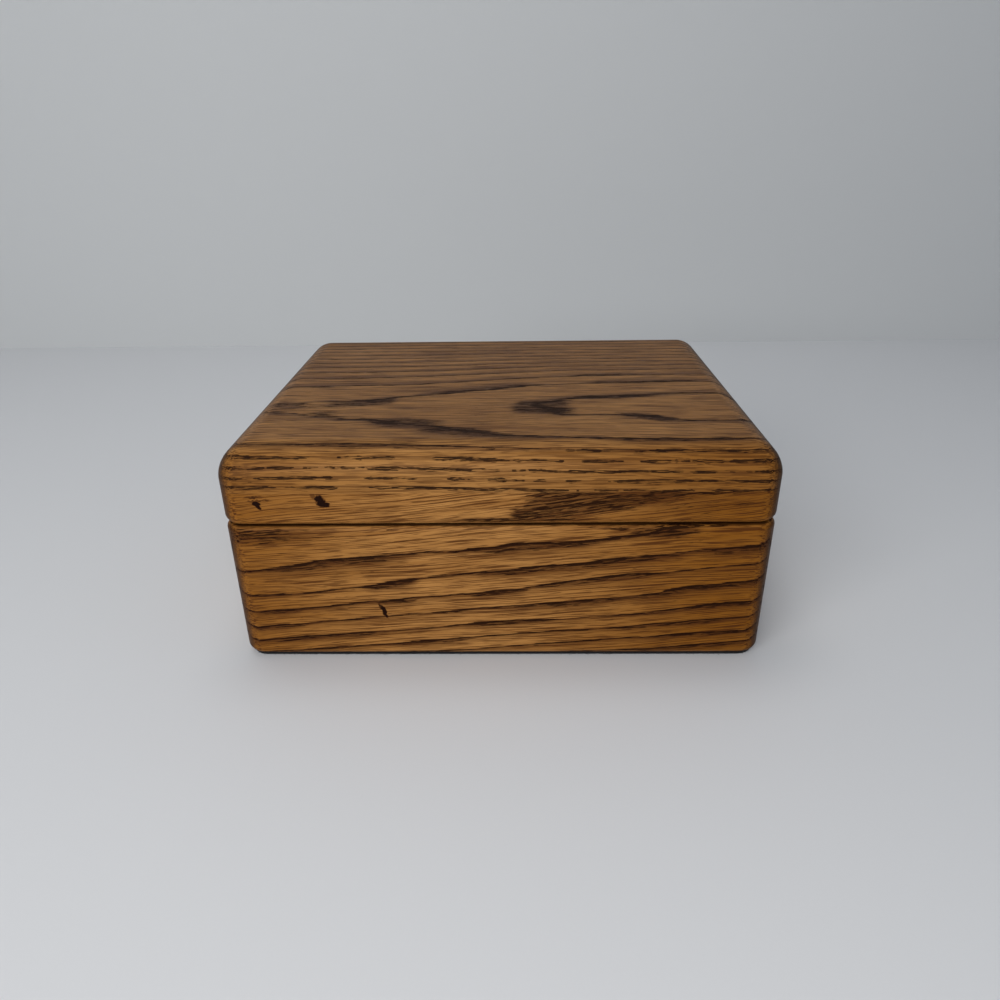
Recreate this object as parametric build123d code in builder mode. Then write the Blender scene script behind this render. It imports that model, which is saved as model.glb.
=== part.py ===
"""Hinged oak keepsake box: a mitred base and lid, felt underneath and inside, two butt hinges.

Millimetres. +Z is up, +X is to the right of someone facing the front, the front faces -Y, and
the origin is the middle of the underside. The lid is modelled shut.
"""
from build123d import *
from math import radians, tan
import os

# Outer sizes of the box
box_width = 158.0
box_depth = 126.0
seam_height = 45.5
lid_height = 23.0
corner_radius = 6.35

# Gap between the rims of the base and the lid, which is split evenly about the seam plane
seam_gap = 0.2

# Stock that the boards are cut from
wall_thickness = 12.7
top_thickness = 12.7
bottom_thickness = 6.0

# Edges: the router's roundover along the top, the eased edges at the seam and the foot
top_roundover = 9.5
lid_easing = 2.4
base_easing = 1.8
foot_easing = 2.4

# Rebate that the bottom panel sits in, and the play around the panel
rebate_width = 6.0
panel_clearance = 0.2

# Felt under the box, on the floor of the base and in the recess of the lid
foot_felt_thickness = 1.0
foot_felt_inset = 1.2
liner_thickness = 1.5
liner_clearance = 0.4

# Bevels along the back edges of the base and the lid: they meet when the lid is fully open
bevel_depth = 4.0
bevel_angle = 48.0

# Butt hinges, let into both rims so that their pins lie in the seam plane
hinge_length = 25.4
hinge_inset = 19.0
leaf_width = 7.9
leaf_thickness = 1.2
knuckle_count = 5
knuckle_radius = 1.9
knuckle_clearance = 0.2
pin_radius = 0.8
pin_clearance = 0.05
recess_clearance = 0.3

# Countersunk wood screws, two to a leaf, set in from its ends
screw_inset = 5.2
screw_length = 9.5
screw_radius = 1.1
screw_head_radius = 2.0
screw_head_height = 0.9
screw_tip_length = 3.0
screw_clearance = 0.05
slot_width = 0.6
slot_depth = 0.5

# Levels and inner sizes that follow from the values above
rim_offset = seam_gap / 2
base_rim = seam_height - rim_offset
lid_rim = seam_height + rim_offset
lid_ceiling = seam_height + lid_height - top_thickness
base_floor = foot_felt_thickness + bottom_thickness
inner_width = box_width - 2 * wall_thickness
inner_depth = box_depth - 2 * wall_thickness
pivot_y = box_depth / 2 - bevel_depth
hinge_x = box_width / 2 - hinge_inset - hinge_length / 2
screw_spacing = hinge_length - 2 * screw_inset
screw_y = -(knuckle_radius + leaf_width) / 2
knuckle_pitch = hinge_length / knuckle_count

os.makedirs("parts", exist_ok=True)


def save(part, name):
    """Name one finished piece and write it."""
    part.label = name
    export_step(part, f"parts/{name}.step")


def outline(inset=0.0):
    """The box seen from above, drawn in by an inset."""
    return RectangleRounded(
        box_width - 2 * inset, box_depth - 2 * inset, corner_radius - inset
    )


def along_x(x, y, z):
    """A plane whose normal runs along the box, at a point."""
    return Plane(origin=(x, y, z), x_dir=(0, 1, 0), z_dir=(1, 0, 0))


# What one hinge takes out of the wood, about its pin: both leaves, the barrel and the screws
with BuildPart() as hinge_recess:
    with BuildSketch(Plane.XY.offset(-rim_offset - leaf_thickness)):
        with Locations((0, -leaf_width / 2)):
            Rectangle(
                hinge_length + 2 * knuckle_clearance,
                leaf_width + 2 * knuckle_clearance,
            )
    extrude(amount=2 * (rim_offset + leaf_thickness))
    with BuildSketch(along_x(-hinge_length / 2 - knuckle_clearance, 0, 0)):
        Circle(knuckle_radius + recess_clearance)
    extrude(amount=hinge_length + 2 * knuckle_clearance)
    with Locations((0, screw_y)):
        with GridLocations(screw_spacing, 0, 2, 1):
            Cylinder(
                radius=screw_radius + screw_clearance,
                height=2 * (rim_offset + screw_length + screw_clearance),
            )

# What is planed off both back edges along the whole box: a wedge that opens from the pin line
# and runs on past the back face
with BuildPart() as back_bevel:
    wedge_depth = 2 * bevel_depth
    wedge_rise = wedge_depth * tan(radians(bevel_angle))
    with BuildSketch(along_x(-box_width, pivot_y, seam_height)):
        with BuildLine():
            Polyline((0, 0), (wedge_depth, wedge_rise), (wedge_depth, -wedge_rise), close=True)
        make_face()
    extrude(amount=2 * box_width)


def cut_back_edge():
    """Bevel the back edge of the frame in hand, and let both hinges into its rim."""
    add(back_bevel.part, mode=Mode.SUBTRACT)
    for side in (-1, 1):
        with Locations((side * hinge_x, pivot_y, seam_height)):
            add(hinge_recess.part, mode=Mode.SUBTRACT)


def mitred_board(frame, corners, keep):
    """One board of a mitred frame, cut at 45 degrees at the two corners that it reaches."""
    with BuildPart() as piece:
        add(frame)
        for side_x, side_y in corners:
            corner = (side_x * box_width / 2, side_y * box_depth / 2, 0)
            split(bisect_by=Plane(origin=corner, z_dir=(side_x, -side_y, 0)), keep=keep)
    return piece.part


def save_boards(frame, prefix):
    """Cut a frame into its front, back, left and right boards."""
    save(mitred_board(frame, [(-1, -1), (1, -1)], Keep.BOTTOM), prefix + "_front")
    save(mitred_board(frame, [(-1, 1), (1, 1)], Keep.BOTTOM), prefix + "_back")
    save(mitred_board(frame, [(-1, -1), (-1, 1)], Keep.TOP), prefix + "_left")
    save(mitred_board(frame, [(1, -1), (1, 1)], Keep.TOP), prefix + "_right")


# Base: four mitred walls with eased edges, and a rebate around the foot for the bottom panel
with BuildPart() as base_frame:
    with BuildSketch(Plane.XY.offset(foot_felt_thickness)):
        outline()
        Rectangle(inner_width, inner_depth, mode=Mode.SUBTRACT)
    extrude(amount=base_rim - foot_felt_thickness)
    fillet(faces().sort_by(Axis.Z)[-1].outer_wire().edges(), radius=base_easing)
    fillet(faces().sort_by(Axis.Z)[0].outer_wire().edges(), radius=foot_easing)
    with BuildSketch(Plane.XY.offset(foot_felt_thickness)):
        Rectangle(inner_width + 2 * rebate_width, inner_depth + 2 * rebate_width)
    extrude(amount=bottom_thickness, mode=Mode.SUBTRACT)
    cut_back_edge()

save_boards(base_frame.part, "base")

# Bottom panel, flush with the foot of the walls
with BuildPart() as base_bottom:
    with BuildSketch(Plane.XY.offset(foot_felt_thickness)):
        Rectangle(
            inner_width + 2 * (rebate_width - panel_clearance),
            inner_depth + 2 * (rebate_width - panel_clearance),
        )
    extrude(amount=bottom_thickness)

save(base_bottom.part, "base_bottom")

# Felt glued over the whole underside, which the box stands on
with BuildPart() as foot_felt:
    with BuildSketch(Plane.XY):
        outline(foot_felt_inset)
    extrude(amount=foot_felt_thickness)

save(foot_felt.part, "foot_felt")

# Felt pads on the floor of the base and against the ceiling of the lid
for pad_name, pad_level in (
    ("floor_liner", base_floor),
    ("lid_liner", lid_ceiling - liner_thickness),
):
    with BuildPart() as liner:
        with BuildSketch(Plane.XY.offset(pad_level)):
            Rectangle(inner_width - 2 * liner_clearance, inner_depth - 2 * liner_clearance)
        extrude(amount=liner_thickness)
    save(liner.part, pad_name)

# Lid: four mitred rails, eased along the seam like the base
with BuildPart() as lid_frame:
    with BuildSketch(Plane.XY.offset(lid_rim)):
        outline()
        Rectangle(inner_width, inner_depth, mode=Mode.SUBTRACT)
    extrude(amount=lid_ceiling - lid_rim)
    fillet(faces().sort_by(Axis.Z)[0].outer_wire().edges(), radius=lid_easing)
    cut_back_edge()

save_boards(lid_frame.part, "lid")

# Solid top board, glued on the rails and rounded over along its upper edge
with BuildPart() as lid_top:
    with BuildSketch(Plane.XY.offset(lid_ceiling)):
        outline()
    extrude(amount=top_thickness)
    fillet(faces().sort_by(Axis.Z)[-1].outer_wire().edges(), radius=top_roundover)

save(lid_top.part, "lid_top")


def hinge_leaf(side):
    """One leaf about its pin: side is -1 in the base, with the even knuckles, and 1 in the lid."""
    first_knuckle = 0 if side < 0 else 1
    with BuildPart() as leaf:
        with BuildSketch(Plane.XY.offset(side * rim_offset)):
            with Locations((0, -leaf_width / 2)):
                Rectangle(hinge_length, leaf_width)
        extrude(amount=side * leaf_thickness)
        screw_face = Plane(origin=(0, screw_y, side * rim_offset), z_dir=(0, 0, -side))
        with Locations(screw_face):
            with GridLocations(screw_spacing, 0, 2, 1):
                CounterSinkHole(
                    radius=screw_radius + screw_clearance,
                    counter_sink_radius=screw_head_radius + screw_clearance,
                    depth=leaf_thickness,
                    counter_sink_angle=90,
                )
        for index in range(knuckle_count):
            own = index % 2 == first_knuckle
            radius = knuckle_radius if own else knuckle_radius + knuckle_clearance
            end_play = -knuckle_clearance if own else knuckle_clearance
            start = index * knuckle_pitch - (hinge_length + end_play) / 2
            with BuildSketch(along_x(start, 0, 0)):
                Circle(radius)
            extrude(amount=knuckle_pitch + end_play, mode=Mode.ADD if own else Mode.SUBTRACT)
        with BuildSketch(along_x(-hinge_length / 2, 0, 0)):
            Circle(pin_radius + pin_clearance)
        extrude(amount=hinge_length, mode=Mode.SUBTRACT)
    return leaf.part


# Hinge pin, as long as the barrel
with BuildPart() as pin:
    with BuildSketch(along_x(-hinge_length / 2, 0, 0)):
        Circle(pin_radius)
    extrude(amount=hinge_length)

# Slotted countersunk screw, its head level with the origin and its tip pointing down
with BuildPart() as screw:
    with BuildSketch(Plane.XZ):
        with BuildLine():
            Polyline(
                (0, 0),
                (screw_head_radius, 0),
                (screw_radius, -screw_head_height),
                (screw_radius, screw_tip_length - screw_length),
                (0, -screw_length),
                close=True,
            )
        make_face()
    revolve(axis=Axis.Z)
    with BuildSketch(Plane.XY.offset(-slot_depth)):
        Rectangle(slot_width, 2 * screw_head_radius)
    extrude(amount=slot_depth, mode=Mode.SUBTRACT)

# Two hinges, shut, with their pins in the seam plane
for hinge_name, hinge_side in (("left", -1), ("right", 1)):
    place = Location((hinge_side * hinge_x, pivot_y, seam_height))
    save(hinge_leaf(-1).moved(place), f"hinge_{hinge_name}_base_leaf")
    save(hinge_leaf(1).moved(place), f"hinge_{hinge_name}_lid_leaf")
    save(pin.part.moved(place), f"hinge_{hinge_name}_pin")

# The four screws of each body, as one group: heads up in the base, heads down in the lid
screw_xs = [
    hinge_side * hinge_x + screw_side * screw_spacing / 2
    for hinge_side in (-1, 1)
    for screw_side in (-1, 1)
]
with BuildPart() as base_screws:
    for x in screw_xs:
        add(screw.part.moved(Location((x, pivot_y + screw_y, base_rim))))

save(base_screws.part, "base_hinge_screws")

with BuildPart() as lid_screws:
    for x in screw_xs:
        add(screw.part.moved(Location((x, pivot_y + screw_y, lid_rim), (180, 0, 0))))

save(lid_screws.part, "lid_hinge_screws")
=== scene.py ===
"""Looks of a small hinged keepsake box: stained oak, black felt and brass hinges.

Metres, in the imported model's own frame: +Z up, the front faces -Y, the origin under the middle.
Materials work in millimetres of that frame.
"""
import bpy
import random
from math import cos, pi, radians, sin
from mathutils import Matrix, Vector, noise as solid_noise


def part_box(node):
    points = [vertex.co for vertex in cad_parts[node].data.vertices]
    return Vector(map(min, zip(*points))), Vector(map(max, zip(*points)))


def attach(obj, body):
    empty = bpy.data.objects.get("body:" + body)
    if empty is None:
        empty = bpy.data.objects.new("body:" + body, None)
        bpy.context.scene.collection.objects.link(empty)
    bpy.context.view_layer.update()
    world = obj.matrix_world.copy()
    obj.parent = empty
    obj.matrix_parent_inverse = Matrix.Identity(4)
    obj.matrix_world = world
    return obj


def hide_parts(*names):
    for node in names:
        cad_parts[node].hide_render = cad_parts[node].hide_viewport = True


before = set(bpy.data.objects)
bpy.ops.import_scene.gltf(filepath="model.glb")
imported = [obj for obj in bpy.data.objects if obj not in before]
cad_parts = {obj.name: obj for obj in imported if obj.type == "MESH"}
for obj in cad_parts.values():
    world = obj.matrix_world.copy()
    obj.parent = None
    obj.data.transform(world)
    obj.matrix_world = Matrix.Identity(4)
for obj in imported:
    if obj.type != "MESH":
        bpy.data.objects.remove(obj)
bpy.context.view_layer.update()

MM = 0.001

# Sizes read from the frame, in millimetres
HALF_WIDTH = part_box("lid_top")[1][0] / MM
HALF_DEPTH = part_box("lid_top")[1][1] / MM
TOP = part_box("lid_top")[1][2] / MM
GLUE_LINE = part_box("lid_top")[0][2] / MM
SEAM = (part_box("base_front")[1][2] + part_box("lid_front")[0][2]) / 2 / MM

# Sockets of Blender's Mix node that carry colours
MIX_FIRST = 6
MIX_SECOND = 7
MIX_RESULT = 2


def rgb(red, green, blue):
    """A display colour, 0 to 255, as the linear colour that shaders take."""
    def linear(value):
        value = value / 255
        return value / 12.92 if value <= 0.04045 else ((value + 0.055) / 1.055) ** 2.4

    return (linear(red), linear(green), linear(blue), 1.0)


# Formulas as shader nodes

class Num:
    """A number that shader nodes work out, for use in formulas like any other number."""

    def __init__(self, tree, socket):
        self.tree = tree
        self.socket = socket

    def calc(self, operation, *others):
        node = self.tree.nodes.new("ShaderNodeMath")
        node.operation = operation
        for socket, value in zip(node.inputs, (self, *others)):
            feed(socket, value)
        return Num(self.tree, node.outputs[0])

    def __add__(self, other):
        return self.calc("ADD", other)

    __radd__ = __add__

    def __sub__(self, other):
        return self.calc("SUBTRACT", other)

    def __rsub__(self, other):
        return self * -1.0 + other

    def __mul__(self, other):
        return self.calc("MULTIPLY", other)

    __rmul__ = __mul__

    def __truediv__(self, other):
        return self.calc("DIVIDE", other)

    def square(self):
        return self * self

    def root(self):
        return self.calc("SQRT")

    def size(self):
        return self.calc("ABSOLUTE")

    def fraction(self):
        return self.calc("FRACT")

    def whole(self):
        return self.calc("FLOOR")

    def most(self, other):
        return self.calc("MAXIMUM", other)

    def tanh(self):
        return self.calc("TANH")

    def swing(self, reach):
        """Noise between 0 and 1 as a number about 0, from one end of a reach to the other."""
        return (self - 0.5) * reach

    def ramp(self, low, high):
        """0 below low, 1 above high, and a smooth rise between them."""
        node = self.tree.nodes.new("ShaderNodeMapRange")
        node.interpolation_type = "SMOOTHSTEP"
        for socket, value in zip(node.inputs, (self, low, high, 0.0, 1.0)):
            feed(socket, value)
        return Num(self.tree, node.outputs[0])

    def near(self, other, full, none):
        """1 within full of another number, 0 beyond none."""
        return 1.0 - (self - other).size().ramp(full, none)

    def equals(self, other):
        """1 where two whole numbers are the same, 0 where they differ."""
        return self.near(other, 0.2, 0.5)


def feed(socket, value):
    """Give a socket a number, a colour or what other nodes work out."""
    if isinstance(value, Num):
        value.tree.links.new(value.socket, socket)
    else:
        socket.default_value = value


def noise(x, y, z, detail=2.0, roughness=0.5):
    """Smooth noise between 0 and 1, with a feature about every unit of x, y and z."""
    nodes = x.tree.nodes
    place = nodes.new("ShaderNodeCombineXYZ")
    for socket, value in zip(place.inputs, (x, y, z)):
        feed(socket, value)
    node = nodes.new("ShaderNodeTexNoise")
    feed(node.inputs["Vector"], Num(x.tree, place.outputs[0]))
    feed(node.inputs["Scale"], 1.0)
    feed(node.inputs["Detail"], detail)
    feed(node.inputs["Roughness"], roughness)
    return Num(x.tree, node.outputs["Fac"])


def even_noise(place, width, detail=2.0, roughness=0.5):
    """Noise whose features are as long as they are wide."""
    x, y, z = place
    return noise(x / width, y / width, z / width, detail, roughness)


def mix(factor, first, second):
    """The first colour at 0, the second at 1."""
    node = factor.tree.nodes.new("ShaderNodeMix")
    node.data_type = "RGBA"
    feed(node.inputs["Factor"], factor)
    feed(node.inputs[MIX_FIRST], first)
    feed(node.inputs[MIX_SECOND], second)
    return Num(factor.tree, node.outputs[MIX_RESULT])


def surface(tree, output):
    """The x, y and z of what Blender's Texture Coordinate node says about the surface."""
    coordinates = tree.nodes.new("ShaderNodeTexCoord")
    split = tree.nodes.new("ShaderNodeSeparateXYZ")
    tree.links.new(coordinates.outputs[output], split.inputs[0])
    return [Num(tree, part) for part in split.outputs]


def new_material(name):
    """An empty material, its shader, and the place on the surface in millimetres."""
    material = bpy.data.materials.new(name)
    material.use_nodes = True
    shader = material.node_tree.nodes["Principled BSDF"]
    place = [part / MM for part in surface(material.node_tree, "Object")]
    return material, shader, place


def bump(shader, height, depth):
    """Relief from a height between 0 and 1 that stands for a depth in millimetres."""
    node = height.tree.nodes.new("ShaderNodeBump")
    node.inputs["Distance"].default_value = depth * MM
    feed(node.inputs["Height"], height)
    height.tree.links.new(node.outputs[0], shader.inputs["Normal"])


# Oak

LIGHT_OAK = rgb(178, 126, 68)
WARM_OAK = rgb(134, 87, 39)
# Painted shade where the light falls off towards a face's ends
END_SHADE_OAK = rgb(121, 71, 6)
RED_OAK = rgb(72, 36, 11)
BAND_OAK = rgb(72, 38, 14)
# End grain's stain, with painted shade on faces that turn from the light
END_STAIN_AND_SHADE_OAK = rgb(52, 29, 13)
# Painted shade that darkens and greys the top
TOP_SHADE_OAK = rgb(38, 34, 30)
# Pores and knots, and painted shade in the seam
PORE_AND_SEAM_SHADE = rgb(27, 8, 1)

# Features of the grain: their length along it and their width across it
SWAY = (60.0, 30.0)
RIPPLE = (20.0, 4.0)
DRIFT = (45.0, 7.0)
RAGS = (6.0, 0.9)
STROKES = (8.0, 0.4)
VESSELS = (4.0, 0.22)
STREAKS = (40.0, 1.1)
FINE_LINES = (24.0, 0.42)
FLECKS = (9.0, 0.3)

# How far apart two boards lie in that noise for each unit between their seeds
SEED_STEP = 100

# How far a surface is turned, from 0 to 1, where it starts to count as one that cuts the rings
# square or as end grain, and where it fully does
EDGE_TURN = (0.25, 0.8)
END_TURN = (0.3, 0.75)

# How far the fibres sway across the board, and how far the ends of patches are torn along it
SWAY_REACH = 5.0
RAG_REACH = 10.0

# How much of the fine texture is strokes, and how much is vessels
STROKE_SHARE = 0.55
VESSEL_SHARE = 0.45

# The noise that thickens the bands, and the one that thickens their rows of dashes: how long its
# features are, how far apart neighbouring rings lie in it, and where it starts and ends to count
LOAD_LENGTH = 22.0
LOAD_STEP = 3.7
LOAD_LEVELS = (0.38, 0.68)
SWELL_LENGTH = 9.0
SWELL_STEP = 5.1
SWELL_LEVELS = (0.41, 0.57)

# Porous bands, in shares of a ring: how far ripples and strokes shift them, how soon one begins,
# its width where it is thin and what a thick one adds, the fine line that it always has, the row
# of dashes that it is on a surface that cuts the rings square, and the darker wood beyond it
RING_RIPPLE = 0.3
RING_STROKE = 0.2
BAND_START = 0.03
THIN_BAND = 0.12
THICK_BAND = 0.22
LINE_PLACE = 0.06
LINE_CORE = 0.02
LINE_EDGE = 0.07
DASH_PLACE = 0.18
DASH_WIDTH = 0.15
DASH_BLUR = 0.07
DASH_RAGS = 0.3
HALO_START = 0.08
HALO_END = (0.25, 0.6)

# Parts of a band, in shares of its width: where its solid core ends and where its edge does, where
# its margin ends, and where its paler middle lies, with that one's own core and edge
BAND_CORE = 0.6
BAND_EDGE = 1.3
MARGIN_EDGE = 2.2
MIDDLE_PLACE = 0.55
MIDDLE_CORE = 0.05
MIDDLE_EDGE = 0.35

# How many times thinner bands are where they are at their finest
FINEST = 3.0

# Where along the board the dashes begin to lie closer together and where they lie closest, how
# much closer, and how thick a dash has to be to show fully
CROWDED = (15.0, 50.0)
CROWDING = 0.06
DASH_SHOWS = 0.25

# A pore shows where the fine texture, with the pull of the bands, passes from the first to the
# second of these, and this strongly in end grain
PORE_LEVELS = (0.66, 0.7)
END_PORES = 0.3

# That pull: of any band, what a thick one adds and its middle takes off again, and the pull of a
# band's fine line and of a dash
BAND_PULL = 0.137
LOAD_PULL = 0.05
MIDDLE_PULL = 0.02
LINE_PULL = 0.08
DASH_PULL = 0.2

# How much stain is held by any band, what a thick one adds and its middle takes off again, and
# how much is held by a band's fine line and by its margin
BAND_HOLD = 0.56
LOAD_HOLD = 0.1
MIDDLE_HOLD = 0.08
LINE_HOLD = 0.75
MARGIN_HOLD = 0.4

# What a surface that cuts the rings square loses of that pull, of that stain, of the shadows
# beside the bands, of the fine lines and of the painted shade that greys the top
PULL_LOSS = 0.7
HOLD_LOSS = 0.75
SHADOW_LOSS = 0.6
FINE_LOSS = 0.3
TOP_SHADE_LOSS = 0.6

# Wood between the bands: its tone on average, from warm at 0 to light at 1, and how far streaks
# and slow drifts swing it
TONE = 0.66
TONE_STREAKS = 1.1
TONE_DRIFT = 1.0

# Fine lines and flecks between the bands: where the noise draws them, and how strongly
FINE_LINE_LEVELS = (0.54, 0.61)
FINE_LINE_STAIN = 0.85
FLECK_LEVELS = (0.54, 0.62)
FLECK_STAIN = 0.7

# Painted shade for the light that falls off towards a board's ends: where the wood is palest along
# a board, how far from there it starts to deepen and is deepest, and how deep it then is on a
# surface that cuts the rings square
PALEST = -12.0
DEEPENS = (5.0, 80.0)
EDGE_DEEPEST = 0.7

# How strongly the end grain's stain and painted shade, the pores and the painted seam shade show
# at their darkest, and how unevenly the end grain and the seam's rims darken
END_STAIN_AND_SHADE = 0.85
PORE_STAIN = 0.9
SEAM_SHADE_LEVEL = 0.9
UNEVEN = 0.7

# Painted shade for the gap at the seam, laid on the rims beside it: how far in over them it
# reaches, how wide its inner edge fades, and how far it reaches up and down, fully and at all
SEAM_SHADE_REACH = 2.8
SEAM_SHADE_FADE = 0.6
SEAM_SHADE_HEIGHT = (0.2, 0.5)

# Knots: the width of their lumps, how far those push the outline along the grain and, as a share
# of that, across it, how strong the haze is, and how ragged and how soft the dark middle is
LUMP_WIDTH = 1.1
LUMP_REACH = 1.8
LUMP_ASIDE = 0.6
HAZE_STRENGTH = 0.7
KNOT_RAGS = 1.2
KNOT_LEVELS = (0.34, 0.62)

# Finish: the roughness on average, how far fine lines swing it, what pores and the rims under the
# painted seam shade add, the strength of reflections, how deep pores are in millimetres, and fine
# lines as a share of it
ROUGHNESS = 0.42
ROUGHNESS_SWING = 0.25
ROUGHENED = 0.3
SHINE = 0.06
PORE_DEPTH = 0.05
FINE_DEPTH = 0.4


class Grain:
    """The grain of one board: a place in it, how the surface cuts it, and the noise along it."""

    def __init__(self, axes, place, facing, slope, seed):
        self.along, self.across, self.depth = (place[axis] for axis in axes)
        self.end_grain = facing[axes[0]]
        self.edge_on = facing[axes[1]].ramp(*EDGE_TURN)
        self.long_grain = 1.0 - self.end_grain.ramp(*END_TURN)

        # The fibres wander a little about the grain's direction
        self.start = self.along + seed * SEED_STEP
        sway = self.waves(SWAY, detail=1.0).swing(SWAY_REACH)
        self.fibre = self.across - self.along * slope + sway
        self.strokes = self.lines(STROKES, roughness=0.6)
        self.vessels = self.lines(VESSELS, detail=1.0)
        self.texture = self.strokes * STROKE_SHARE + self.vessels * VESSEL_SHARE

    def waves(self, size, detail=2.0):
        """Noise through the board, whichever way its fibres wander."""
        length, width = size
        return noise(self.start / length, self.across / width, self.depth / width, detail)

    def faded(self, loss):
        """1 where the surface lies along the rings, and less by a loss where it cuts them square."""
        return 1.0 - self.edge_on * loss

    def lines(self, size, shift=0.0, detail=2.0, roughness=0.55):
        """Noise drawn out along the fibres, shifted to set one kind of line apart from another."""
        length, width = size
        start = self.start + shift
        return noise(start / length, self.fibre / width, self.depth / width, detail, roughness)


class Bands:
    """The porous bands of one board, as its surface cuts them: each growth ring begins with one."""

    def __init__(self, grain, rings, quiet, accents, thin, marks):
        ring = rings(grain.along, grain.across, grain.depth)
        ring = ring + grain.waves(RIPPLE).swing(RING_RIPPLE) + grain.strokes.swing(RING_STROKE)
        phase = ring.fraction()
        count = ring.whole()

        # A band is a thin line in some places and thick in others
        load = noise(grain.start / LOAD_LENGTH, count * LOAD_STEP, 0.0, detail=1.5)
        self.load = load.ramp(*LOAD_LEVELS)
        if accents:
            self.load = (self.load * quiet).most(accents(count, grain.along))
        width = self.load * THICK_BAND + THIN_BAND

        # From the third ring on, the wood beyond a band stays a little darker
        halo = (1.0 - phase.ramp(*HALO_END)) * phase.ramp(0.0, HALO_START)
        self.halo = halo * count.ramp(1.0, 2.0)
        if thin:
            phase = phase * (thin(grain.along, grain.across) * (FINEST - 1.0) + 1.0)
        begun = phase.ramp(0.0, BAND_START)
        self.solid = (1.0 - phase.ramp(width * BAND_CORE, width * BAND_EDGE)) * begun
        self.margin = (1.0 - phase.ramp(width, width * MARGIN_EDGE)) * begun
        self.line = phase.near(LINE_PLACE, LINE_CORE, LINE_EDGE) * (1.0 - grain.edge_on)

        # A thick band is a little paler in its middle than at its edges
        middle = phase.near(width * MIDDLE_PLACE, width * MIDDLE_CORE, width * MIDDLE_EDGE)
        self.middle = self.load * middle
        if marks:
            ragged = grain.lines(RAGS, roughness=0.5).swing(RAG_REACH)
            patch = marks(grain.along, grain.across, ragged)
            self.solid = self.solid.most(patch)
            self.load = self.load.most(patch)

        # On a face that cuts the rings square, each band is a row of short ragged dashes
        swell = noise(
            grain.start / SWELL_LENGTH, count * SWELL_STEP, 0.5, detail=3.0, roughness=0.6,
        )
        swell = (swell + grain.along.ramp(*CROWDED) * CROWDING).ramp(*SWELL_LEVELS)
        aside = (phase - DASH_PLACE).size() - grain.vessels.swing(DASH_RAGS)
        dashes = 1.0 - aside.ramp(swell * DASH_WIDTH, swell * DASH_WIDTH + DASH_BLUR)
        self.dashes = dashes * swell.ramp(0.0, DASH_SHOWS) * grain.edge_on


def pore_lines(grain, bands):
    """Pores: strokes of fine dark lines, dense in the bands and sparse elsewhere."""
    density = bands.load * LOAD_PULL - bands.middle * MIDDLE_PULL + BAND_PULL
    in_band = bands.solid * density * grain.faded(PULL_LOSS)
    pull = in_band + bands.line * LINE_PULL + bands.dashes * DASH_PULL
    shown = grain.long_grain * (1.0 - END_PORES) + END_PORES
    return (grain.texture + pull).ramp(*PORE_LEVELS) * shown


def late_wood(grain, deepest):
    """The wood between the bands: its tone drifts, and painted shade deepens the face's ends."""
    streaks = grain.lines(STREAKS, shift=20.0)
    tone = streaks.swing(TONE_STREAKS) + grain.waves(DRIFT).swing(TONE_DRIFT) + TONE
    colour = mix(tone.ramp(0.0, 1.0), WARM_OAK, LIGHT_OAK)
    # Painted shade: darker away from the middle, for the light that falls off towards the ends
    ends = (grain.along - PALEST).size().ramp(*DEEPENS)
    return mix(ends * (grain.edge_on * (EDGE_DEEPEST - deepest) + deepest), colour, END_SHADE_OAK)


def stain_bands(colour, grain, bands, soft):
    """A colour with the stain that the porous bands hold, and a shadow beside each band."""
    shadow = (bands.margin * MARGIN_HOLD).most(bands.halo * soft)
    colour = mix(shadow * grain.faded(SHADOW_LOSS), colour, BAND_OAK)
    strength = bands.load * LOAD_HOLD - bands.middle * MIDDLE_HOLD + BAND_HOLD
    held = (bands.solid * strength).most(bands.line * LINE_HOLD)
    return mix(held * grain.faded(HOLD_LOSS), colour, BAND_OAK)


def seam_shade(place, uneven):
    """1 on the rims at the seam, where painted shade darkens them, and 0 elsewhere."""
    x, y, z = place
    outside = (x.size() - HALF_WIDTH).most(y.size() - HALF_DEPTH) + SEAM_SHADE_REACH
    return (z + uneven).near(SEAM, *SEAM_SHADE_HEIGHT) * outside.ramp(0.0, SEAM_SHADE_FADE)


def add_knots(colour, grain, knots):
    """A colour with small lumpy knots, each in a reddish haze."""
    lump = noise(grain.along / LUMP_WIDTH, grain.across / LUMP_WIDTH, grain.depth, detail=1.0)
    lump = lump.swing(LUMP_REACH)
    knot = knots(grain.along + lump, grain.across - lump * LUMP_ASIDE)
    colour = mix(knot.ramp(0.0, 0.5) * HAZE_STRENGTH, colour, RED_OAK)
    return mix((knot + grain.texture.swing(KNOT_RAGS)).ramp(*KNOT_LEVELS), colour, PORE_AND_SEAM_SHADE)


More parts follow.
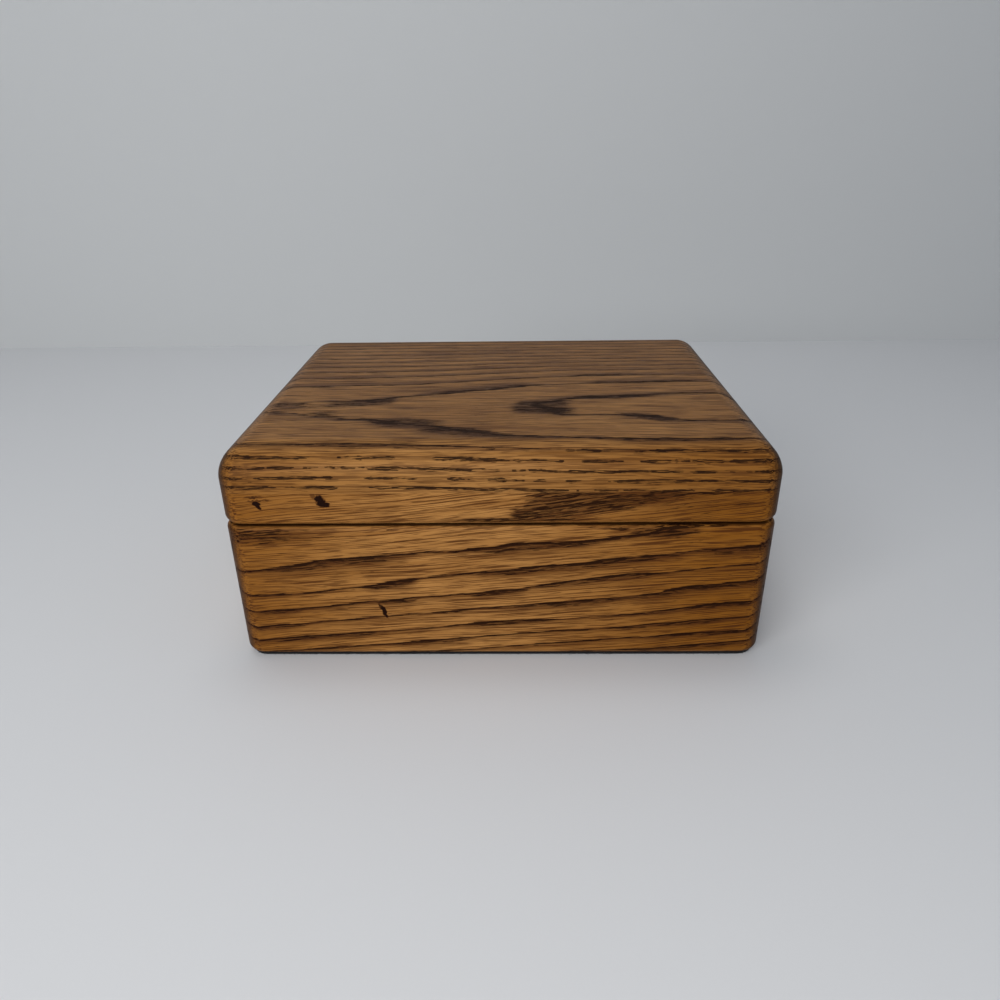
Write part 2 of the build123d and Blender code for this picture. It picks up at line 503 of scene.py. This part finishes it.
def oak(name, axes, rings, slope=0.0, seed=0.0, soft=0.35, thirst_and_shade=(0.3, 0.7), deepest=0.85,
        quiet=0.4, dull=0.0, accents=None, thin=None, marks=None, knots=None):
    """Stained ring-porous oak.

    axes gives which of x, y and z run along the grain, across the face and into the board.
    rings takes those three and gives the growth ring at that place: its whole part counts the
    rings, and a porous band follows each whole number. slope is how the fibres rise across the
    face, and seed makes one board's grain differ from another's. soft is how much darker the
    wood stays for half a ring beyond the band. thirst_and_shade is how square to the grain a
    surface starts to darken, from stain that end grain drinks and painted shade on faces that
    turn from the light, and where it is darkest. deepest is how far painted shade, for light
    that falls off towards the ends, turns the face's ends towards the deepest colour, and dull
    is how far a painted grey-brown shade darkens and greys the face, for the weaker light and
    the grazing sheen on a top. quiet is how thick bands still are away from their accents.
    accents takes the ring's count and the place along the grain, and says where a band is
    thickest. thin says where bands are at their finest, marks gives extra porous patches and
    knots gives solid dark ones, each from 0 to 1.
    """
    material, shader, place = new_material(name)
    facing = [part.size() for part in surface(material.node_tree, "Normal")]
    grain = Grain(axes, place, facing, slope, seed)
    bands = Bands(grain, rings, quiet, accents, thin, marks)
    pores = pore_lines(grain, bands)
    fine_lines = grain.lines(FINE_LINES, shift=40.0, detail=1.0)
    flecks = grain.lines(FLECKS, shift=90.0, detail=1.0)
    fine = fine_lines.ramp(*FINE_LINE_LEVELS) * FINE_LINE_STAIN
    fine = fine.most(flecks.ramp(*FLECK_LEVELS) * FLECK_STAIN)
    uneven = grain.texture.swing(UNEVEN)
    rim = seam_shade(place, uneven)

    colour = late_wood(grain, deepest)
    colour = mix(fine * grain.faded(FINE_LOSS) * grain.long_grain, colour, RED_OAK)
    colour = stain_bands(colour, grain, bands, soft)
    # Darker end grain and rounded corners: the stain that end grain drinks, with painted shade where
    # the faces turn from the light
    colour = mix((grain.end_grain + uneven).ramp(*thirst_and_shade) * END_STAIN_AND_SHADE, colour, END_STAIN_AND_SHADE_OAK)
    colour = mix(pores * PORE_STAIN, colour, PORE_AND_SEAM_SHADE)
    # Painted shade: a grey-brown veil that darkens and greys the top, for its weaker light and its
    # grazing sheen
    if dull:
        colour = mix(grain.faded(TOP_SHADE_LOSS) * dull, colour, TOP_SHADE_OAK)
    # Painted shade on the rims at the seam, for the shade in the gap between lid and base
    colour = mix(rim * SEAM_SHADE_LEVEL, colour, PORE_AND_SEAM_SHADE)
    if knots:
        colour = add_knots(colour, grain, knots)

    feed(shader.inputs["Base Color"], colour)
    roughness = pores * ROUGHENED + rim * ROUGHENED + fine_lines.swing(ROUGHNESS_SWING) + ROUGHNESS
    feed(shader.inputs["Roughness"], roughness)
    shader.inputs["Specular IOR Level"].default_value = SHINE
    bump(shader, pores * -1.0 - fine * FINE_DEPTH + 1.0, PORE_DEPTH)
    return material


# How much of its reach a spot, and a stretch of thick band, fills completely
SPOT_CORE = 0.35
STRETCH_CORE = 0.4


def spot(along, across, centre, half_length, half_height, slope=0.0):
    """1 in the middle of a long mark on the surface, 0 outside its ellipse."""
    run = along - centre[0]
    rise = across - centre[1] - run * slope
    reach = ((run / half_length).square() + (rise / half_height).square()).root()
    return 1.0 - reach.ramp(SPOT_CORE, 1.0)


def stretches(spans):
    """Where bands are thickest: each span is a ring's count, a middle along the grain and a reach."""
    def accents(count, along):
        found = [count.equals(ring) * along.near(middle, reach * STRETCH_CORE, reach)
                 for ring, middle, reach in spans]
        total = found[0]
        for span in found[1:]:
            total = total.most(span)
        return total

    return accents


# Flat-sawn top: its rings are pointed arches that open to the right, over straight lines behind
TOP_HEART_Y = -27.3
TOP_HEART_HEIGHT = 70.0
TOP_RING = 3.28
TOP_FIRST_RING = 1.02

# The arches close most steeply about here along the board, over this length
TOP_TURN_X = -3.3
TOP_TURN_LENGTH = 31.4

# Half the number of rings that the arches' taper spans, and how far behind or in front of the
# heart it starts to die away and is gone
TOP_TAPER = 0.647
TOP_TAPER_REACH = (32.0, 83.0)

# In front of the heart the rings lie further apart: how much at the left, and what they lose of
# that towards the right
TOP_WIDENING = 0.5
TOP_NARROWING = 0.147

# How much of a ring they step on, in one place there
TOP_NOTCH = 0.16

# How steeply the rings go down into the board under its face and at its front and back edges, and
# between which distances from the middle the face turns into those
FACE_STEEPNESS = 0.3
EDGE_STEEPNESS = 1.24
TOP_ROUNDING = (50.0, 57.0)


def top_rings(along, across, depth):
    """Rings about a heart that lies above the board, and nearer to it towards the right."""
    # 0 at the left end and 2 at the right one
    right = ((along - TOP_TURN_X) / TOP_TURN_LENGTH).tanh() + 1.0
    aside = across - TOP_HEART_Y
    in_front = 1.0 - aside.ramp(-0.01, 0.01)
    stretch = 1.0 - in_front * (TOP_WIDENING - right * TOP_NARROWING)
    at_edges = across.size().ramp(*TOP_ROUNDING)
    steepness = at_edges * (EDGE_STEEPNESS - FACE_STEEPNESS) + FACE_STEEPNESS
    level = (TOP - depth) * steepness + TOP_HEART_HEIGHT
    reach = (aside.square() * stretch + level.square()).root() - TOP_HEART_HEIGHT
    taper = right * (1.0 - aside.size().ramp(*TOP_TAPER_REACH)) * TOP_TAPER
    notch = spot(along, across, (35.0, -39.5), 22.0, 9.0) * TOP_NOTCH
    return reach / TOP_RING - taper + notch + TOP_FIRST_RING


def top_marks(along, across, ragged):
    """Porous patches where the arches' tips graze the surface, and a line on the front edge."""
    left = spot(along + ragged, across, (-39.0, -21.3), 26.0, 4.8, 0.2)
    left = left * (1.0 - (along + ragged * 0.5).ramp(-35.0, -31.0))
    blunt = (along + ragged * 0.4 - 2.0 - (across + 28.0).size() * 0.45).ramp(-1.5, 3.0)
    tip = blunt * across.near(-27.2, 4.5, 8.0) * (1.0 - (along + ragged * 0.5).ramp(19.0, 25.0))
    lower = spot(along + ragged, across, (-27.5, -41.0), 16.0, 7.0, -0.1)
    lower_end = spot(along + ragged, across, (-9.0, -47.4), 17.0, 2.8, -0.36)
    right = spot(along + ragged, across, (45.0, -37.6), 12.0, 4.5, -0.44)
    upper = spot(along + ragged, across, (36.0, -18.4), 24.0, 2.6, 0.08)
    edge = spot(along + ragged * 2.0, across, (-42.0, -56.8), 46.0, 1.3, -0.02) * 0.8
    return left.most(tip).most(lower).most(lower_end).most(right).most(upper).most(edge)


def top_thin(along, across):
    """The left end of the arches, whose rings lie far apart there."""
    return spot(along, across, (-76.0, -29.0), 48.0, 26.0)


top_accents = stretches([
    (1, -5.0, 26.0), (1, 48.0, 26.0), (2, 36.0, 16.0),
])


# Front of the base: how far its rings climb for each millimetre into the board, and how far up
# the whole pattern is moved
FRONT_CLIMB = 0.7
FRONT_LIFT = 0.7

# Rings to a millimetre at the foot of the board, half of what each millimetre up takes off that,
# and what each millimetre along adds to the count and to that rate
FRONT_RATE = 0.244
FRONT_SPREAD = 0.00175
FRONT_RISE = 0.0206
FRONT_FAN = 0.00018

# The count in the middle of the foot, and the one, between two bands, where it stops at the top
FRONT_FOOT_RING = 6.82
FRONT_TOP_RING = -0.4


def front_rings(along, across, depth):
    """Rings that fan out towards the right, and lie further apart higher up."""
    level = across - (depth + HALF_DEPTH) * FRONT_CLIMB - FRONT_LIFT
    spread = level.square() * FRONT_SPREAD - along * level * FRONT_FAN

    # In places the rings lie a little higher or lower than the rest would have them
    uneven = (
        spot(along, level, (-48.0, 32.5), 36.0, 6.0, 0.1) * 0.18
        - spot(along, level, (-50.0, 24.0), 28.0, 4.0, 0.08) * 0.15
        + spot(along, level, (34.0, 26.0), 30.0, 5.0, 0.09) * 0.26
        + spot(along, level, (68.0, 26.5), 28.0, 9.0, 0.09) * 0.28
        - spot(along, level, (30.0, 41.5), 26.0, 4.5, 0.09) * 0.15
        - spot(along, level, (31.0, 15.0), 28.0, 7.0, 0.09) * 0.17
    )
    ring = spread + along * FRONT_RISE - level * FRONT_RATE + uneven + FRONT_FOOT_RING
    return ring.most(FRONT_TOP_RING)


def front_marks(along, across, ragged):
    """A patch at the upper left corner, and the tip of an arch under the seam."""
    left = spot(along + ragged, across, (-79.0, 42.6), 42.0, 4.6, 0.02) * 0.9
    apex = spot(along + ragged * 0.8, across, (46.5, 43.6), 13.0, 2.7, 0.02).ramp(0.0, 0.75)
    branch = spot(along + ragged, across, (31.0, 44.8), 14.0, 1.1, -0.13)
    return left.most(apex).most(branch)


def front_knots(along, across):
    """A short slit."""
    slit = spot(along, across, (-34.5, 16.8), 1.4, 2.2, -1.5)
    return slit.most(spot(along, across, (-35.5, 18.6), 0.9, 1.4, -1.5) * 0.5)


front_accents = stretches([
    (0, -48.0, 28.0), (0, 12.0, 24.0), (1, -32.0, 10.0), (1, 24.0, 40.0), (1, 72.0, 18.0),
    (2, -66.0, 10.0), (2, -30.0, 8.0), (2, 0.0, 12.0), (2, 30.0, 26.0), (3, -67.0, 12.0),
    (3, 16.0, 24.0), (3, 60.0, 28.0), (4, -54.0, 22.0), (4, 0.0, 18.0), (4, 60.0, 24.0),
    (5, -22.0, 18.0), (5, 50.0, 24.0), (6, -24.0, 20.0), (6, 60.0, 26.0), (7, 56.0, 28.0),
])


# Front rail of the lid: a height, the count there, and what each millimetre up adds to it
RAIL_HEIGHT = 51.0
RAIL_RING = 0.6
RAIL_GAIN = 0.01


def rail_rings(along, across, depth):
    """Rings so wide that the rail lies between two bands."""
    return (across - RAIL_HEIGHT) * RAIL_GAIN + RAIL_RING


def rail_marks(along, across, ragged):
    """An arch that grazes the surface: its left end is cut off sharply, the right end thins out."""
    cut_end = (along - (across - 47.0) * 1.07 - 1.0 + ragged * 0.9).ramp(-3.0, 3.6)
    floor = across - 46.4 - (along - 8.0).most(0.0) * 0.14 + ragged * 0.12
    above_floor = floor.ramp(-0.8, 0.8) * 0.55 + floor.ramp(0.8, 5.0) * 0.45
    fade = 1.0 - (along + ragged * 2.0).ramp(34.0, 90.0)
    arch = (cut_end * above_floor * fade).ramp(0.0, 0.7)
    seam_line = spot(along + ragged * 0.5, across, (4.0, 47.2), 34.0, 1.5)
    joint_line = spot(along + ragged, across, (42.0, GLUE_LINE - 0.4), 44.0, 1.0)
    thin_end = spot(along + ragged * 2.0, across, (58.0, 52.0), 30.0, 4.0, 0.05) * 0.4
    return arch.most(seam_line).most(joint_line).most(thin_end)


def rail_knots(along, across):
    """A large knot, a small one, and two short scratches above that."""
    large = spot(along, across, (-49.6, 53.6), 1.9, 2.6, -0.3)
    large = large.most(spot(along, across, (-48.2, 52.4), 1.7, 1.1))
    large = large.most(spot(along, across, (-51.6, 55.3), 1.3, 1.8, -0.8) * 0.4)
    small = spot(along, across, (-67.9, 52.9), 1.7, 0.9)
    small = small.most(spot(along, across, (-67.5, 52.2), 1.3, 1.2, -0.9))
    above = spot(along, across, (-68.3, 54.8), 4.0, 0.6, 0.05)
    above = above.most(spot(along, across, (-67.0, 53.8), 5.0, 0.5, 0.1))
    return large.most(small).most(above * 0.45)


# How many rings a plain board gains for each millimetre along it
PLAIN_GAIN = 0.004


def plain_rings(middle, out, spacing, slope=0.0, first=40.0):
    """Rings of a board whose heart lies outside it.

    middle is where the heart lies across the board, and slope how that rises along it. out is how
    far from the frame's origin the heart lies in the direction into the board. spacing is the
    width of a ring, and first the count at the heart.
    """
    def rings(along, across, depth):
        drop = across - middle - along * slope
        reach = (drop.square() + (depth.size() - out).square()).root()
        return reach / spacing + along * PLAIN_GAIN + first

    return rings


# Brass and felt

# The length of brush strokes and the width of dulled places on brass
BRUSH_LENGTH = 5
DULL_WIDTH = 6

# The roughness of bright brass, and what dulled places and brush strokes add
BRASS_ROUGHNESS = 0.25
DULL_ROUGHNESS = 0.1
BRUSH_ROUGHNESS = 0.08

# The width of matted tufts and of cloudy places on felt
TUFT_WIDTH = 0.5
CLOUD_WIDTH = 9

DARK_FELT = rgb(9, 9, 10)
PALE_FELT = rgb(27, 27, 28)


def brass(name, bright, dulled, brush_width):
    """Brass between a bright and a dulled colour, finely brushed along the hinge."""
    material, shader, place = new_material(name)
    x, y, z = place
    brushed = noise(x / BRUSH_LENGTH, y / brush_width, z / brush_width, detail=1.0)
    dull = even_noise(place, DULL_WIDTH, detail=1.0)
    feed(shader.inputs["Base Color"], mix(dull.ramp(0.35, 0.65), bright, dulled))
    shader.inputs["Metallic"].default_value = 1.0
    roughness = dull * DULL_ROUGHNESS + brushed * BRUSH_ROUGHNESS + BRASS_ROUGHNESS
    feed(shader.inputs["Roughness"], roughness)
    bump(shader, brushed, 0.004)
    return material


def felt(name):
    """Black wool felt: matted fibres with a soft sheen."""
    material, shader, place = new_material(name)
    matted = even_noise(place, TUFT_WIDTH, detail=4.0, roughness=0.7)
    cloudy = even_noise(place, CLOUD_WIDTH)
    shade = matted * 0.7 + cloudy * 0.3
    feed(shader.inputs["Base Color"], mix(shade.ramp(0.3, 0.7), DARK_FELT, PALE_FELT))
    shader.inputs["Roughness"].default_value = 0.95
    shader.inputs["Specular IOR Level"].default_value = 0.15
    shader.inputs["Sheen Weight"].default_value = 0.12
    shader.inputs["Sheen Roughness"].default_value = 0.6
    bump(shader, matted, 0.25)
    return material


def dress(node, material):
    """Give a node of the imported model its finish."""
    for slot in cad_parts[node].material_slots:
        slot.material = material


# Which axes run along the grain, across the face and into the board
ALONG_X = (0, 2, 1)
ALONG_Y = (1, 2, 0)
FLAT = (0, 1, 2)

# dull is painted shade that darkens and greys the top; with deepest at 0 the painted end shade stays
# on its front edge
top_wood = oak("oak_top", FLAT, top_rings, seed=3.1, soft=0.55, deepest=0.0, quiet=0.15,
               dull=0.26, accents=top_accents, thin=top_thin, marks=top_marks)
front_wood = oak("oak_front", ALONG_X, front_rings, slope=0.07, seed=1.7,
                 accents=front_accents, marks=front_marks, knots=front_knots)
rail_wood = oak("oak_rail", ALONG_X, rail_rings, slope=0.12, seed=5.3,
                marks=rail_marks, knots=rail_knots)
side_rings = plain_rings(middle=52.0, out=100.0, spacing=4.4, slope=0.05, first=39.7)
# The side boards darken early towards their corners: stain and painted shade
side_wood = oak("oak_side", ALONG_Y, side_rings, slope=0.03, seed=8.2, thirst_and_shade=(0.1, 0.55))
back_rings = plain_rings(middle=30.0, out=88.0, spacing=4.8, slope=-0.04, first=40.35)
back_wood = oak("oak_back", ALONG_X, back_rings, slope=-0.03, seed=11.4)
bottom_rings = plain_rings(middle=0.0, out=40.0, spacing=5.0)
bottom_wood = oak("oak_bottom", FLAT, bottom_rings, seed=14.0)

dress("lid_top", top_wood)
dress("base_front", front_wood)
dress("lid_front", rail_wood)
for node in ("base_left", "base_right", "lid_left", "lid_right"):
    dress(node, side_wood)
for node in ("base_back", "lid_back"):
    dress(node, back_wood)
dress("base_bottom", bottom_wood)

hinge_finish = brass("hinge_brass", rgb(206, 166, 98), rgb(186, 144, 80), brush_width=0.15)
screw_finish = brass("screw_brass", rgb(228, 196, 134), rgb(214, 178, 112), brush_width=0.6)
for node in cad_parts:
    if node.startswith("hinge_"):
        dress(node, hinge_finish)
    elif node.endswith("_screws"):
        dress(node, screw_finish)


# Felt pads: cut from a sheet, with rims that the cut has left soft and hairy

# The size of a face's grid cells, how many lie in a rounded corner, and the steps down a rim
FELT_CELL = 2.0
FELT_CORNER_CELLS = 4
FELT_RIM_STEPS = 5

# How deep a face's hollows are on average, as a share of half its pad's thickness, and how wide
HOLLOW_DEPTH = 0.12
HOLLOW_WIDTH = 4.0

# The rim: how far it swells outwards on average, and how much more or less in its rags, as shares
# of its full reach, how wide those rags are, and its height as a share of its pad's thickness
RIM_SWELL = 0.75
RIM_RAGS = 0.25
RAG_WIDTH = 0.9
RIM_HEIGHT = 0.9

# Loose fibres: how many stand on a millimetre of rim, the sides of their cross-section, their
# radius at the root, the share of it that is left half-way, how far they bow outwards there, and
# their length on a pad that is 2 mm thick
FIBRES_PER_MM = 3
FIBRE_SIDES = 3
FIBRE_RADIUS = (0.02, 0.045)
FIBRE_TAPER = 0.8
FIBRE_BOW = 0.04
FIBRE_LENGTH = (0.3, 0.84)

# Which way they lean: a steady part outwards, and at most how far sideways and how far up or down
LEAN_OUT = 0.7
LEAN_ASIDE = 1.2
LEAN_UP = 0.5

# How far up and down the rim their roots and their tips lie, and how deep in it the roots sit, as
# shares of half their pad's thickness
ROOT_SPREAD = 0.7
TIP_SPREAD = 0.95
ROOT_SINK = 0.25

felt_finish = felt("black_felt")


def add_piece(name, points, faces, material, body):
    """A smooth-shaded mesh object, its points in millimetres, that rides on a body."""
    mesh = bpy.data.meshes.new(name)
    mesh.from_pydata([Vector(point) * MM for point in points], [], faces)
    mesh.update()
    mesh.shade_smooth()
    mesh.materials.append(material)
    piece = bpy.data.objects.new(name, mesh)
    bpy.context.collection.objects.link(piece)
    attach(piece, body)
    return piece


def ticks(half, radius):
    """Grid positions from one side to the other, closer together in the rounded corners."""
    inner = half - radius
    cells = 2 * round(inner / FELT_CELL)
    middle = [-inner + 2 * inner * i / cells for i in range(cells + 1)]
    outer = [inner + radius * (i + 1) / FELT_CORNER_CELLS for i in range(FELT_CORNER_CELLS)]
    return [-value for value in reversed(outer)] + middle + outer


def rounded(x, y, half_x, half_y, radius):
    """A point of a square-cornered grid, moved so that the grid's corners are round."""
    a = (abs(x) - (half_x - radius)) / radius
    b = (abs(y) - (half_y - radius)) / radius
    if a <= 0 or b <= 0:
        return x, y
    round_a = a * (1 - b * b / 2) ** 0.5
    round_b = b * (1 - a * a / 2) ** 0.5
    side_x = 1 if x > 0 else -1
    side_y = 1 if y > 0 else -1
    return (
        side_x * (half_x - radius + radius * round_a),
        side_y * (half_y - radius + radius * round_b),
    )


def felt_pad(name, node, body, radius):
    """A felt pad in the space of a node, with a soft uneven face and a rounded, ragged rim."""
    low, high = (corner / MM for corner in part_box(node))
    half_x, half_y = high.x, high.y
    middle_z, half_z = (low.z + high.z) / 2, (high.z - low.z) / 2
    xs, ys = ticks(half_x, radius), ticks(half_y, radius)
    columns, rows = len(xs), len(ys)

    # Both faces are grids drawn in by the rim's rounding, with hollows that only go inwards
    points = []
    shrink = 1 - half_z / half_y
    for side in (1, -1):
        for x in xs:
            for y in ys:
                px, py = rounded(x, y, half_x, half_y, radius)
                waviness = solid_noise.noise(Vector((px, py, side * 9)) / HOLLOW_WIDTH)
                hollow = HOLLOW_DEPTH * half_z * (1 + waviness)
                points.append((px * shrink, py * shrink, middle_z + side * (half_z - hollow)))
    faces = []
    offset = columns * rows
    for i in range(columns - 1):
        for j in range(rows - 1):
            a = i * rows + j
            face = (a, a + rows, a + rows + 1, a + 1)
            faces.append(face)
            faces.append(tuple(offset + corner for corner in reversed(face)))

    # The rim swells outwards between the two faces
    border = (
        [i * rows for i in range(columns)]
        + [(columns - 1) * rows + j for j in range(1, rows)]
        + [i * rows + rows - 1 for i in range(columns - 2, -1, -1)]
        + [j for j in range(rows - 2, 0, -1)]
    )
    loops = [border]
    for step in range(1, FELT_RIM_STEPS):
        angle = pi * step / FELT_RIM_STEPS
        loop = []
        for index in border:
            x, y, z = points[index]
            full_x, full_y = x / shrink, y / shrink
            rag = solid_noise.noise(Vector((full_x, full_y, angle)) / RAG_WIDTH)
            out = sin(angle) * (RIM_SWELL + RIM_RAGS * rag)
            loop.append(len(points))
            points.append((
                x + (full_x - x) * out,
                y + (full_y - y) * out,
                middle_z + half_z * RIM_HEIGHT * cos(angle),
            ))
        loops.append(loop)
    loops.append([offset + index for index in border])
    for upper, lower in zip(loops, loops[1:]):
        for k in range(len(border)):
            n = (k + 1) % len(border)
            faces.append((upper[n], upper[k], lower[k], lower[n]))

    pad = add_piece(name, points, faces, felt_finish, body)
    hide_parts(node)
    fringe = felt_fringe(name + "_fringe", half_x, half_y, radius, middle_z, half_z, body)


def rim_place(distance, half_x, half_y, radius):
    """For a distance along a pad's rim, the point a corner radius further in, and the way out."""
    straight_x, straight_y = 2 * (half_x - radius), 2 * (half_y - radius)
    bend = pi / 2 * radius
    lengths = [straight_x, bend, straight_y, bend] * 2
    corners = [(1, -1), (1, 1), (-1, 1), (-1, -1)]
    part = 0
    while distance > lengths[part]:
        distance -= lengths[part]
        part += 1
    quarter = part // 2
    side_x, side_y = corners[quarter]
    root = Vector((side_x * (half_x - radius), side_y * (half_y - radius), 0))
    turn = (quarter - 1) * pi / 2
    if part % 2 == 1:
        turn += distance / radius
    else:
        root -= Matrix.Rotation(turn, 3, "Z") @ Vector((0, 1, 0)) * (lengths[part] - distance)
    return root, Matrix.Rotation(turn, 3, "Z") @ Vector((1, 0, 0))


def add_fibre(points, faces, root, tip, outward, sideways, radius):
    """A three-sided fibre that bows outwards and ends in a point."""
    root_ring = len(points)
    waist_ring = root_ring + FIBRE_SIDES
    end = waist_ring + FIBRE_SIDES
    waist = (root + tip) / 2 + outward * FIBRE_BOW
    for place, reach in ((root, radius), (waist, radius * FIBRE_TAPER)):
        for k in range(FIBRE_SIDES):
            angle = 2 * pi * k / FIBRE_SIDES
            spoke = sideways * cos(angle) + Vector((0, 0, sin(angle)))
            points.append(place + spoke * reach)
    points.append(tip)
    for k in range(FIBRE_SIDES):
        n = (k + 1) % FIBRE_SIDES
        faces.append((root_ring + k, root_ring + n, waist_ring + n, waist_ring + k))
        faces.append((waist_ring + k, waist_ring + n, end))
    faces.append(tuple(reversed(range(root_ring, waist_ring))))


def felt_fringe(name, half_x, half_y, radius, middle_z, half_z, body):
    """Loose fibres that stand out of a pad's cut rim."""
    draw = random.Random(name)
    rim = 4 * (half_x - radius) + 4 * (half_y - radius) + 2 * pi * radius
    points = []
    faces = []
    for _ in range(round(rim * FIBRES_PER_MM)):
        root, outward = rim_place(draw.random() * rim, half_x, half_y, radius)
        sideways = Vector((-outward.y, outward.x, 0))
        height = draw.uniform(-ROOT_SPREAD, ROOT_SPREAD) * half_z
        root = root + outward * (radius - ROOT_SINK * half_z) + Vector((0, 0, middle_z + height))
        length = draw.uniform(*FIBRE_LENGTH) * half_z ** 0.5
        aside = draw.uniform(-LEAN_ASIDE, LEAN_ASIDE)
        up = draw.uniform(-LEAN_UP, LEAN_UP)
        lean = outward * LEAN_OUT + sideways * aside + Vector((0, 0, up))
        tip = root + lean.normalized() * length
        lowest, highest = middle_z - half_z * TIP_SPREAD, middle_z + half_z * TIP_SPREAD
        tip.z = min(max(tip.z, lowest), highest)
        add_fibre(points, faces, root, tip, outward, sideways, draw.uniform(*FIBRE_RADIUS))
    return add_piece(name, points, faces, felt_finish, body)


felt_pad("foot_pad", "foot_felt", "base", radius=5.15)
felt_pad("floor_pad", "floor_liner", "base", radius=0.8)
felt_pad("lid_pad", "lid_liner", "lid", radius=0.8)


# Studio

TOOTH_WIDTH = 0.8
TOOTH_STRENGTH = 0.03
TOOTH_GREY = rgb(200, 200, 200)


def paper(name, colour):
    """Matt pale paper with a faint tooth."""
    material, shader, place = new_material(name)
    tooth = even_noise(place, TOOTH_WIDTH, detail=3.0).ramp(0.3, 0.7) * TOOTH_STRENGTH
    feed(shader.inputs["Base Color"], mix(tooth, colour, TOOTH_GREY))
    shader.inputs["Roughness"].default_value = 0.9
    shader.inputs["Specular IOR Level"].default_value = 0.2
    return material


def stage_plane(name, material, corners):
    """One plane of the stage, from its four corners."""
    mesh = bpy.data.meshes.new(name)
    mesh.from_pydata(corners, [], [(0, 1, 2, 3)])
    mesh.materials.append(material)
    item = bpy.data.objects.new(name, mesh)
    bpy.context.collection.objects.link(item)


def softbox(name, place, target, width, height, power):
    """A rectangular lamp that faces a target."""
    lamp = bpy.data.lights.new(name, "AREA")
    lamp.shape = "RECTANGLE"
    lamp.size = width
    lamp.size_y = height
    lamp.energy = power
    item = bpy.data.objects.new(name, lamp)
    item.location = place
    direction = Vector(target) - Vector(place)
    item.rotation_euler = direction.to_track_quat("-Z", "Y").to_euler()
    bpy.context.collection.objects.link(item)


STAGE_SIDE = 1.4
STAGE_FRONT = -1.4
WALL_Y = 0.32
WALL_TOP = 1.2
stage_plane("table", paper("table_paper", rgb(217, 217, 217)), [
    (-STAGE_SIDE, STAGE_FRONT, 0), (STAGE_SIDE, STAGE_FRONT, 0),
    (STAGE_SIDE, WALL_Y, 0), (-STAGE_SIDE, WALL_Y, 0),
])
stage_plane("backdrop", paper("backdrop_paper", rgb(208, 209, 208)), [
    (-STAGE_SIDE, WALL_Y, 0), (STAGE_SIDE, WALL_Y, 0),
    (STAGE_SIDE, WALL_Y, WALL_TOP), (-STAGE_SIDE, WALL_Y, WALL_TOP),
])
softbox("window", (-0.42, -0.72, 0.42), (0, -0.05, 0.03), width=0.6, height=0.5, power=4.4)
softbox("overhead", (-0.1, 0.1, 0.9), (0, -0.05, 0), width=0.5, height=0.3, power=1.55)
softbox("near_window", (0.01, -0.42, 0.28), (0, -0.06, 0.05), width=0.2, height=0.12, power=0.44)

world = bpy.data.worlds.new("room")
world.use_nodes = True
sky = world.node_tree.nodes["Background"]
sky.inputs["Color"].default_value = rgb(222, 235, 255)
sky.inputs["Strength"].default_value = 0.235
bpy.context.scene.world = world

# Camera: a phone held in front of the box and above it, turned and tilted a little, with its
# focal length as a share of the picture's width
CAMERA_PLACE = (0.0048, -0.2539, 0.1459)
CAMERA_HEADING = radians(1.302)
CAMERA_PITCH = radians(25.785)
CAMERA_ROLL = radians(-0.856)
CAMERA_FOCAL = 766.1 / 1000
CAMERA_NEAR = 0.01

camera = bpy.data.cameras.new("camera")
camera.sensor_width = 36.0
camera.lens = CAMERA_FOCAL * camera.sensor_width
camera.clip_start = CAMERA_NEAR
camera_item = bpy.data.objects.new("camera", camera)
camera_item.matrix_world = (
    Matrix.Translation(CAMERA_PLACE)
    @ Matrix.Rotation(CAMERA_HEADING, 4, "Z")
    @ Matrix.Rotation(pi / 2 - CAMERA_PITCH, 4, "X")
    @ Matrix.Rotation(CAMERA_ROLL, 4, "Z")
)
bpy.context.collection.objects.link(camera_item)
bpy.context.scene.camera = camera_item
bpy.context.scene.view_settings.view_transform = "Standard"
